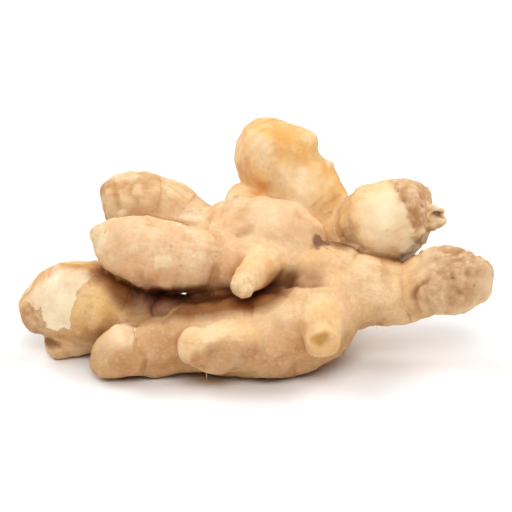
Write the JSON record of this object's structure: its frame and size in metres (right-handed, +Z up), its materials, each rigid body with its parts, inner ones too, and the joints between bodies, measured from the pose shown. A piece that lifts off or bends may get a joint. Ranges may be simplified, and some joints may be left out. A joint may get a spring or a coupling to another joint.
{
  "type": "ginger root",
  "caption": "Whole fresh ginger root with swollen fingers growing out of each other, thin ringed tan skin, peeled pale patches and worn stub ends",
  "frame": {"origin": "on the table, under the middle of the root's box", "axes": "+X to the root's corky right knob, +Y away from the side with the stubs, +Z up"},
  "size_m": [0.1424, 0.0756, 0.066],
  "materials": {
    "skin": "matte"
  },
  "bodies": {
    "root": {"rhizome": "skin"}
  },
  "joints": []
}
